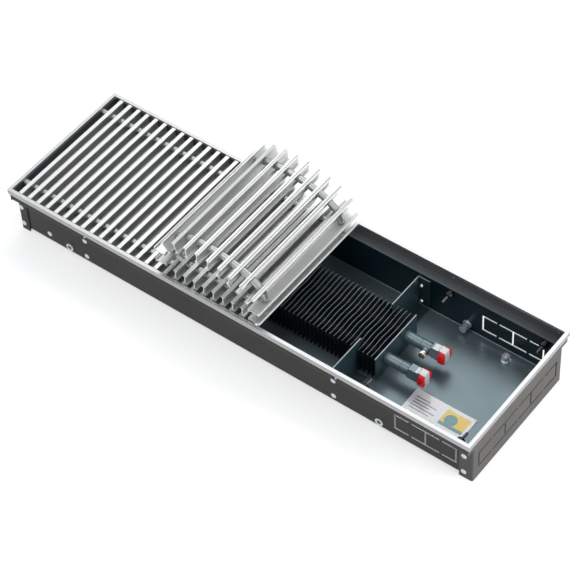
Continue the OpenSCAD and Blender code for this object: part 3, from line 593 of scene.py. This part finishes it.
fins = Finish("fin_coating", FIN_DARK, roughness=0.36)
# A painted highlight: the fins' top edges are a lighter grey for the light they catch
lit_top_edge = fins.math("GREATER_THAN", fins.axes()[2], fin_high.z - EDGE_DEPTH)
edge_highlight_grey = fins.mix(fins.noise(scale=260, detail=3), linear(EDGE_HIGHLIGHT_DARK), linear(EDGE_HIGHLIGHT_PALE))
fins.colour(fins.mix(lit_top_edge, fins.drift(FIN_DARK, amount=0.15, scale=40), edge_highlight_grey))
fins.roughness(fins.cloud(scale=500, detail=3, low=0.28, high=0.46))
fins.bump(fins.noise(scale=1600, detail=2), distance=0.03 * MM, strength=0.3)
fin_places = np.arange(plate_low.x - FIN_PITCH, fin_low.x, -FIN_PITCH)
piece("wavy_fins", *joined([fin(place) for place in fin_places]), fins, "casing", "fin_coating", "fin_pack")

# %% [markdown]
# The brackets, the end plates and the pipe tails have cool paint like the trough's inside,
# worn light where a sheet's upper edge was cut. The tubes are coated brown, and the air vent
# is bare nickel. All of them keep their CAD shape, because it is already right.

# %% Heat exchanger's mountings
BRACKET_TEAL = (40, 58, 66)
PLATE_TEAL = (44, 62, 70)
FITTING_GREY = (112, 130, 136)
TUBE_BROWN = (84, 70, 62)
NICKEL = (184, 180, 172)
CUT_TOP = (158, 170, 176)
CUT_DEPTH = 0.5 * MM


def cool_paint(name, colour, metallic, roughness, top=None):
    """The cool paint of the parts inside the trough, worn light at a cut edge up at top."""
    paint = Finish(name, colour, roughness=roughness, metallic=metallic)
    coat = paint.drift(colour, amount=0.10, scale=30)
    if top is not None:
        at_top = paint.math("GREATER_THAN", paint.axes()[2], top - CUT_DEPTH)
        coat = paint.mix(at_top, coat, linear(CUT_TOP))
    paint.colour(coat)
    paint.roughness(paint.cloud(scale=60, detail=4, low=roughness - 0.05, high=roughness + 0.07))
    paint.bump(paint.noise(scale=1700, detail=2), distance=0.05 * MM, strength=0.35)
    return paint


bracket_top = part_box("bracket_right")[1].z
dress(cool_paint("bracket_paint", BRACKET_TEAL, metallic=0.10, roughness=0.34, top=bracket_top),
      "bracket_right", "bracket_left")
dress(cool_paint("plate_paint", PLATE_TEAL, metallic=0.10, roughness=0.34, top=plate_high.z),
      "end_plate_right", "end_plate_left")
dress(cool_paint("fitting_paint", FITTING_GREY, metallic=0.30, roughness=0.26),
      "tail_front", "tail_back", "union_front", "union_back")
coated = Finish("coated_tube", TUBE_BROWN, roughness=0.40, metallic=0.5)
coated.colour(coated.drift(TUBE_BROWN, amount=0.15, scale=30))
coated.roughness(coated.cloud(scale=90, detail=4, low=0.32, high=0.50))
dress(coated, "copper_tube_front", "copper_tube_back", "return_bend")
nickel = Finish("vent_nickel", NICKEL, roughness=0.2, metallic=1.0)
nickel.colour(nickel.drift(NICKEL, amount=0.08, scale=150))
nickel.bump(nickel.noise(scale=1500, detail=2), distance=0.02 * MM, strength=0.4)
dress(nickel, "air_vent_body", "air_vent_spindle")

# %% [markdown]
# A blind rivet has a low domed head with a small pit where its pin broke off, a shank through
# the sheets and a swollen tail behind them. All of it is round, so one outline is turned
# about the rivet's axis, as a Screw modifier would do, but with both ends closed to a point.

# %% Rivets
RIVET_HEAD = 4.3 * MM
RIVET_EDGE = 0.35 * MM
RIVET_DOME = 1.05 * MM
RIVET_RISE = RIVET_EDGE + RIVET_DOME
RIVET_SHANK = 1.6 * MM
# Radius and height in mm: the tail from the back of the sheets, the pit from the dome's top
RIVET_TAIL = ((0, -1.4), (1.9, -1.3), (2.9, -0.7), (2.7, 0))
RIVET_PIT = ((1.0, -0.03), (0.85, -0.5), (0, -0.5))
DOME_ANGLES = np.radians([0, 15, 30, 45, 60, 72])
TURN_STEPS = 28


def turned(profile, centre, side):
    """A closed body turned about a line along Y through centre. A profile point of radius r
    and height h gives x = r cos a, y = side h and z = side r sin a for all angles a. The
    profile runs from the axis to the axis, and side is +1 or -1, the way the heights go."""
    radii, heights = np.array(profile).T
    turn_angles = 2 * np.pi * np.arange(TURN_STEPS) / TURN_STEPS
    r, a = np.meshgrid(radii[1:-1], turn_angles, indexing="ij")
    h = np.repeat(heights[1:-1, None], TURN_STEPS, axis=1)
    rings = np.stack([r * np.cos(a), side * h, side * r * np.sin(a)], axis=2).reshape(-1, 3)
    first, last = (0, side * heights[0], 0), (0, side * heights[-1], 0)
    points = np.concatenate([[first], rings, [last]]) + np.array(centre)
    number = 1 + np.arange(len(rings)).reshape(-1, TURN_STEPS)
    after = np.roll(number, -1, axis=1)
    start, end = np.zeros(TURN_STEPS, int), np.full(TURN_STEPS, len(points) - 1)
    return points, [faces_from(start, number[0], after[0]),
                    faces_from(number[:-1], number[1:], after[1:], after[:-1]),
                    faces_from(after[-1], number[-1], end)]


def rivet_outline(depth):
    """Tail, shank through depth of sheet, flat flange, dome and pit, as radii and heights. The
    dome is r = head cos b, h = edge + dome sin b."""
    tail = np.array(RIVET_TAIL) * MM - (0, depth)
    shank = [(RIVET_SHANK, -depth), (RIVET_SHANK, 0), (RIVET_HEAD, 0)]
    dome = np.stack([RIVET_HEAD * np.cos(DOME_ANGLES), RIVET_EDGE + RIVET_DOME * np.sin(DOME_ANGLES)], axis=1)
    pit = np.array(RIVET_PIT) * MM + (0, RIVET_RISE)
    return np.concatenate([tail, shank, dome, pit])


rivet_low, rivet_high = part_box("end_cap_rivets")
rivet_face = rivet_high.y - RIVET_RISE
tab_rivets = [turned(rivet_outline(2 * SHEET), (x, side * rivet_face, z), side)
              for x in (rivet_low.x + RIVET_HEAD, rivet_high.x - RIVET_HEAD)
              for z in (rivet_low.z + RIVET_HEAD, rivet_high.z - RIVET_HEAD) for side in (-1, 1)]
piece("tab_rivets", *joined(tab_rivets), zinc, "casing", "zinc", "end_cap_rivets")
wall_low, wall_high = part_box("wall_rivet")
wall_middle = (wall_low + wall_high) / 2
wall_centre = (wall_middle.x, wall_low.y + RIVET_RISE, wall_middle.z)
piece("front_rivet", *turned(rivet_outline(SHEET), wall_centre, -1), zinc, "casing", "zinc", "wall_rivet")

# %% [markdown]
# A strip of white tape holds each red cap. It lies flat on the union, climbs over the cap's
# edge and runs down the cap's end. The strip follows a path of corners in X and Z that a
# running mean rounds off; across it the strip sinks by R - sqrt(R^2 - y^2) where it lies on
# the round cap. Cloth could crumple it, but on a strip this small only the folds at the
# cap's edges show, so small sine waves along both directions are enough for its wrinkles.

# %% Tape
TAPE_WHITE = (244, 245, 247)
TAPE_GAP = 0.12 * MM
TAPE_THICKNESS = 0.15 * MM
TAPE_BRIDGE = 1.5 * MM
TAPE_RAMP = 1.8 * MM
TAPE_STEPS, TAPE_COLUMNS = 120, 15
ROUNDING_STEPS = 9
CREASE = 0.16 * MM
SHORT_CREASE, LONG_CREASE, CROSS_CREASE = 1.7 * MM, 4.1 * MM, 2.6 * MM
SLANT, CROSS_SLANT = 600, 900
LONG_SHIFT = 2
CROSS_SHARE = 0.6


def tape_strip(end):
    """Points and faces of the strip over the cap at this end. With s along the strip and w
    across it, it is lifted by crease / 2 times 1 + sin(s / short + slant w) sin(s / long + 2)
    + 0.6 sin(s / cross + cross slant w)."""
    tape_low, tape_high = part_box("tape_" + end)
    cap_low, cap_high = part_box("cap_" + end)
    union_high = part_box("union_" + end)[1]
    radius = (cap_high.z - cap_low.z) / 2
    flat, top, face = union_high.z + TAPE_GAP, cap_high.z + TAPE_GAP, cap_high.x + TAPE_GAP
    corners = np.array([(tape_low.x, flat), (union_high.x - TAPE_RAMP - TAPE_BRIDGE, flat),
                        (union_high.x - TAPE_BRIDGE, top), (face, top), (face, tape_low.z)])
    reach = np.concatenate([[0], np.cumsum(np.linalg.norm(np.diff(corners, axis=0), axis=1))])
    along = np.linspace(0, reach[-1], TAPE_STEPS)
    path = np.stack([np.interp(along, reach, corners[:, i]) for i in (0, 1)], axis=1)
    half = ROUNDING_STEPS // 2
    padded = np.concatenate([np.repeat(path[:1], half, 0), path, np.repeat(path[-1:], half, 0)])
    kernel = np.ones(ROUNDING_STEPS) / ROUNDING_STEPS
    path = np.stack([np.convolve(padded[:, i], kernel, "valid") for i in (0, 1)], axis=1)
    heading = np.gradient(path, axis=0)
    heading /= np.linalg.norm(heading, axis=1)[:, None]
    outward = np.stack([-heading[:, 1], heading[:, 0]], axis=1)
    width = np.linspace(tape_low.y, tape_high.y, TAPE_COLUMNS)
    step, y = np.meshgrid(np.arange(TAPE_STEPS), width, indexing="ij")
    s, w = along[step], y - (cap_high.y + cap_low.y) / 2
    on_cap = np.clip((path[step, 0] - union_high.x + TAPE_BRIDGE) / TAPE_BRIDGE, 0, 1)
    sink = on_cap * (radius - np.sqrt(radius ** 2 - w ** 2))
    waves = np.sin(s / SHORT_CREASE + SLANT * w) * np.sin(s / LONG_CREASE + LONG_SHIFT)
    waves += CROSS_SHARE * np.sin(CROSS_SLANT * w + s / CROSS_CREASE)
    lift = CREASE * (1 + waves) / 2

    def layer(rise):
        x = path[step, 0] + outward[step, 0] * rise
        z = path[step, 1] + outward[step, 1] * rise - sink
        return np.stack([x, y, z], axis=2)

    return closed_sheet(layer(lift + TAPE_THICKNESS), layer(lift))


tape_paper = moulded("tape", TAPE_WHITE, roughness=0.45)
for end in ("front", "back"):
    piece("tape_strip_" + end, *tape_strip(end), tape_paper, "cap_" + end, "tape", "tape_" + end)

# %% [markdown]
# A leaflet in a clear sleeve lies on the floor of the trough. Its corners and its right end
# curl up a little, and the rest waves very gently. The corners' rise grows with the sixth
# power of the distance from the middle in both directions, so the middle lies flat. A flat
# sheet would look printed on the floor: the curled corners give it a shadow.

# %% Leaflet's shape
LEAFLET_THICKNESS = 0.25 * MM
LEAFLET_GAP = 0.05 * MM
LEAFLET_ROWS, LEAFLET_COLUMNS = 50, 30
CURL = 1.6 * MM
CORNER_POWER = 6
END_SHARE, END_POWER = 0.25, 8
SAG = 0.25 * MM
SAG_ALONG, SAG_ACROSS = 7, 3


def leaflet():
    """Points and faces of the curled sheet. With u along it and v across it from 0 to 1, it
    rises by curl (|2 u - 1| ** 6 |2 v - 1| ** 6 + u ** 8 / 4) + sag (1 + sin(7 u + 3 v)) / 2."""
    u, v = np.meshgrid(np.linspace(0, 1, LEAFLET_ROWS), np.linspace(0, 1, LEAFLET_COLUMNS), indexing="ij")
    corner = np.abs(2 * u - 1) ** CORNER_POWER * np.abs(2 * v - 1) ** CORNER_POWER
    curl = CURL * (corner + END_SHARE * u ** END_POWER)
    waves = SAG * (1 + np.sin(SAG_ALONG * u + SAG_ACROSS * v)) / 2
    x = label_low.x + (label_high.x - label_low.x) * u
    y = label_low.y + (label_high.y - label_low.y) * v
    z = label_low.z + LEAFLET_GAP + curl + waves
    return closed_sheet(np.stack([x, y, z + LEAFLET_THICKNESS], axis=2), np.stack([x, y, z], axis=2))


# %% [markdown]
# The print is a plain pattern of bars, a panel, a disc and a band in the colours of such a
# leaflet, without any letters. Each shape is a mask of sums on the leaflet's own length and
# width, and a smooth coat over the print makes the clear sleeve.

# %% Leaflet's print
PAPER = (250, 252, 255)
INK_GREY, INK_YELLOW, INK_TEAL = linear((128, 140, 150)), linear((248, 208, 34)), linear((30, 132, 140))
# Shares of the leaflet's length and width
BAR_START, BAR_ENDS = 0.07, (0.40, 0.46, 0.34, 0.44, 0.30)
BAR_BASE, BAR_STEP, BAR_WIDTH = 0.42, 0.09, 0.03
PANEL = (0.56, 0.95, 0.40, 0.90)
BAND = (0.56, 0.95, 0.40, 0.50)
DISC = (0.70, 0.64, 0.17)

sleeve = Finish("leaflet_print", PAPER, roughness=0.35, coat=1.0, coat_roughness=0.12)
sleeve_x, sleeve_y, _ = sleeve.axes()
u = sleeve.ramp(sleeve_x, label_low.x, label_high.x, 0, 1)
v = sleeve.ramp(sleeve_y, label_low.y, label_high.y, 0, 1)


def patch(u_low, u_high, v_low, v_high):
    """1 inside a rectangle of the leaflet, given in shares of its length and width."""
    return sleeve.math("MULTIPLY", sleeve.between(u, u_low, u_high), sleeve.between(v, v_low, v_high))


def disc(u_middle, v_middle, radius):
    """1 where (du L / W)^2 + dv^2 is less than radius^2, in shares of the width W."""
    shape = (label_high.x - label_low.x) / (label_high.y - label_low.y)
    du = sleeve.math("MULTIPLY", sleeve.math("SUBTRACT", u, u_middle), shape)
    dv = sleeve.math("SUBTRACT", v, v_middle)
    square = sleeve.math("ADD", sleeve.math("MULTIPLY", du, du), sleeve.math("MULTIPLY", dv, dv))
    return sleeve.math("LESS_THAN", square, radius ** 2)


print_colour = sleeve.drift(PAPER, amount=0.02, scale=30)
for row, bar_end in enumerate(BAR_ENDS):
    bar_low = BAR_BASE + BAR_STEP * row
    print_colour = sleeve.mix(patch(BAR_START, bar_end, bar_low, bar_low + BAR_WIDTH), print_colour, INK_GREY)
for mask, ink in ((patch(*PANEL), INK_YELLOW), (disc(*DISC), INK_TEAL), (patch(*BAND), INK_TEAL)):
    print_colour = sleeve.mix(mask, print_colour, ink)
sleeve.colour(print_colour)
sleeve.roughness(sleeve.cloud(scale=80, detail=3, low=0.28, high=0.42))
piece("leaflet", *leaflet(), sleeve, "casing", "label_print", "info_label")
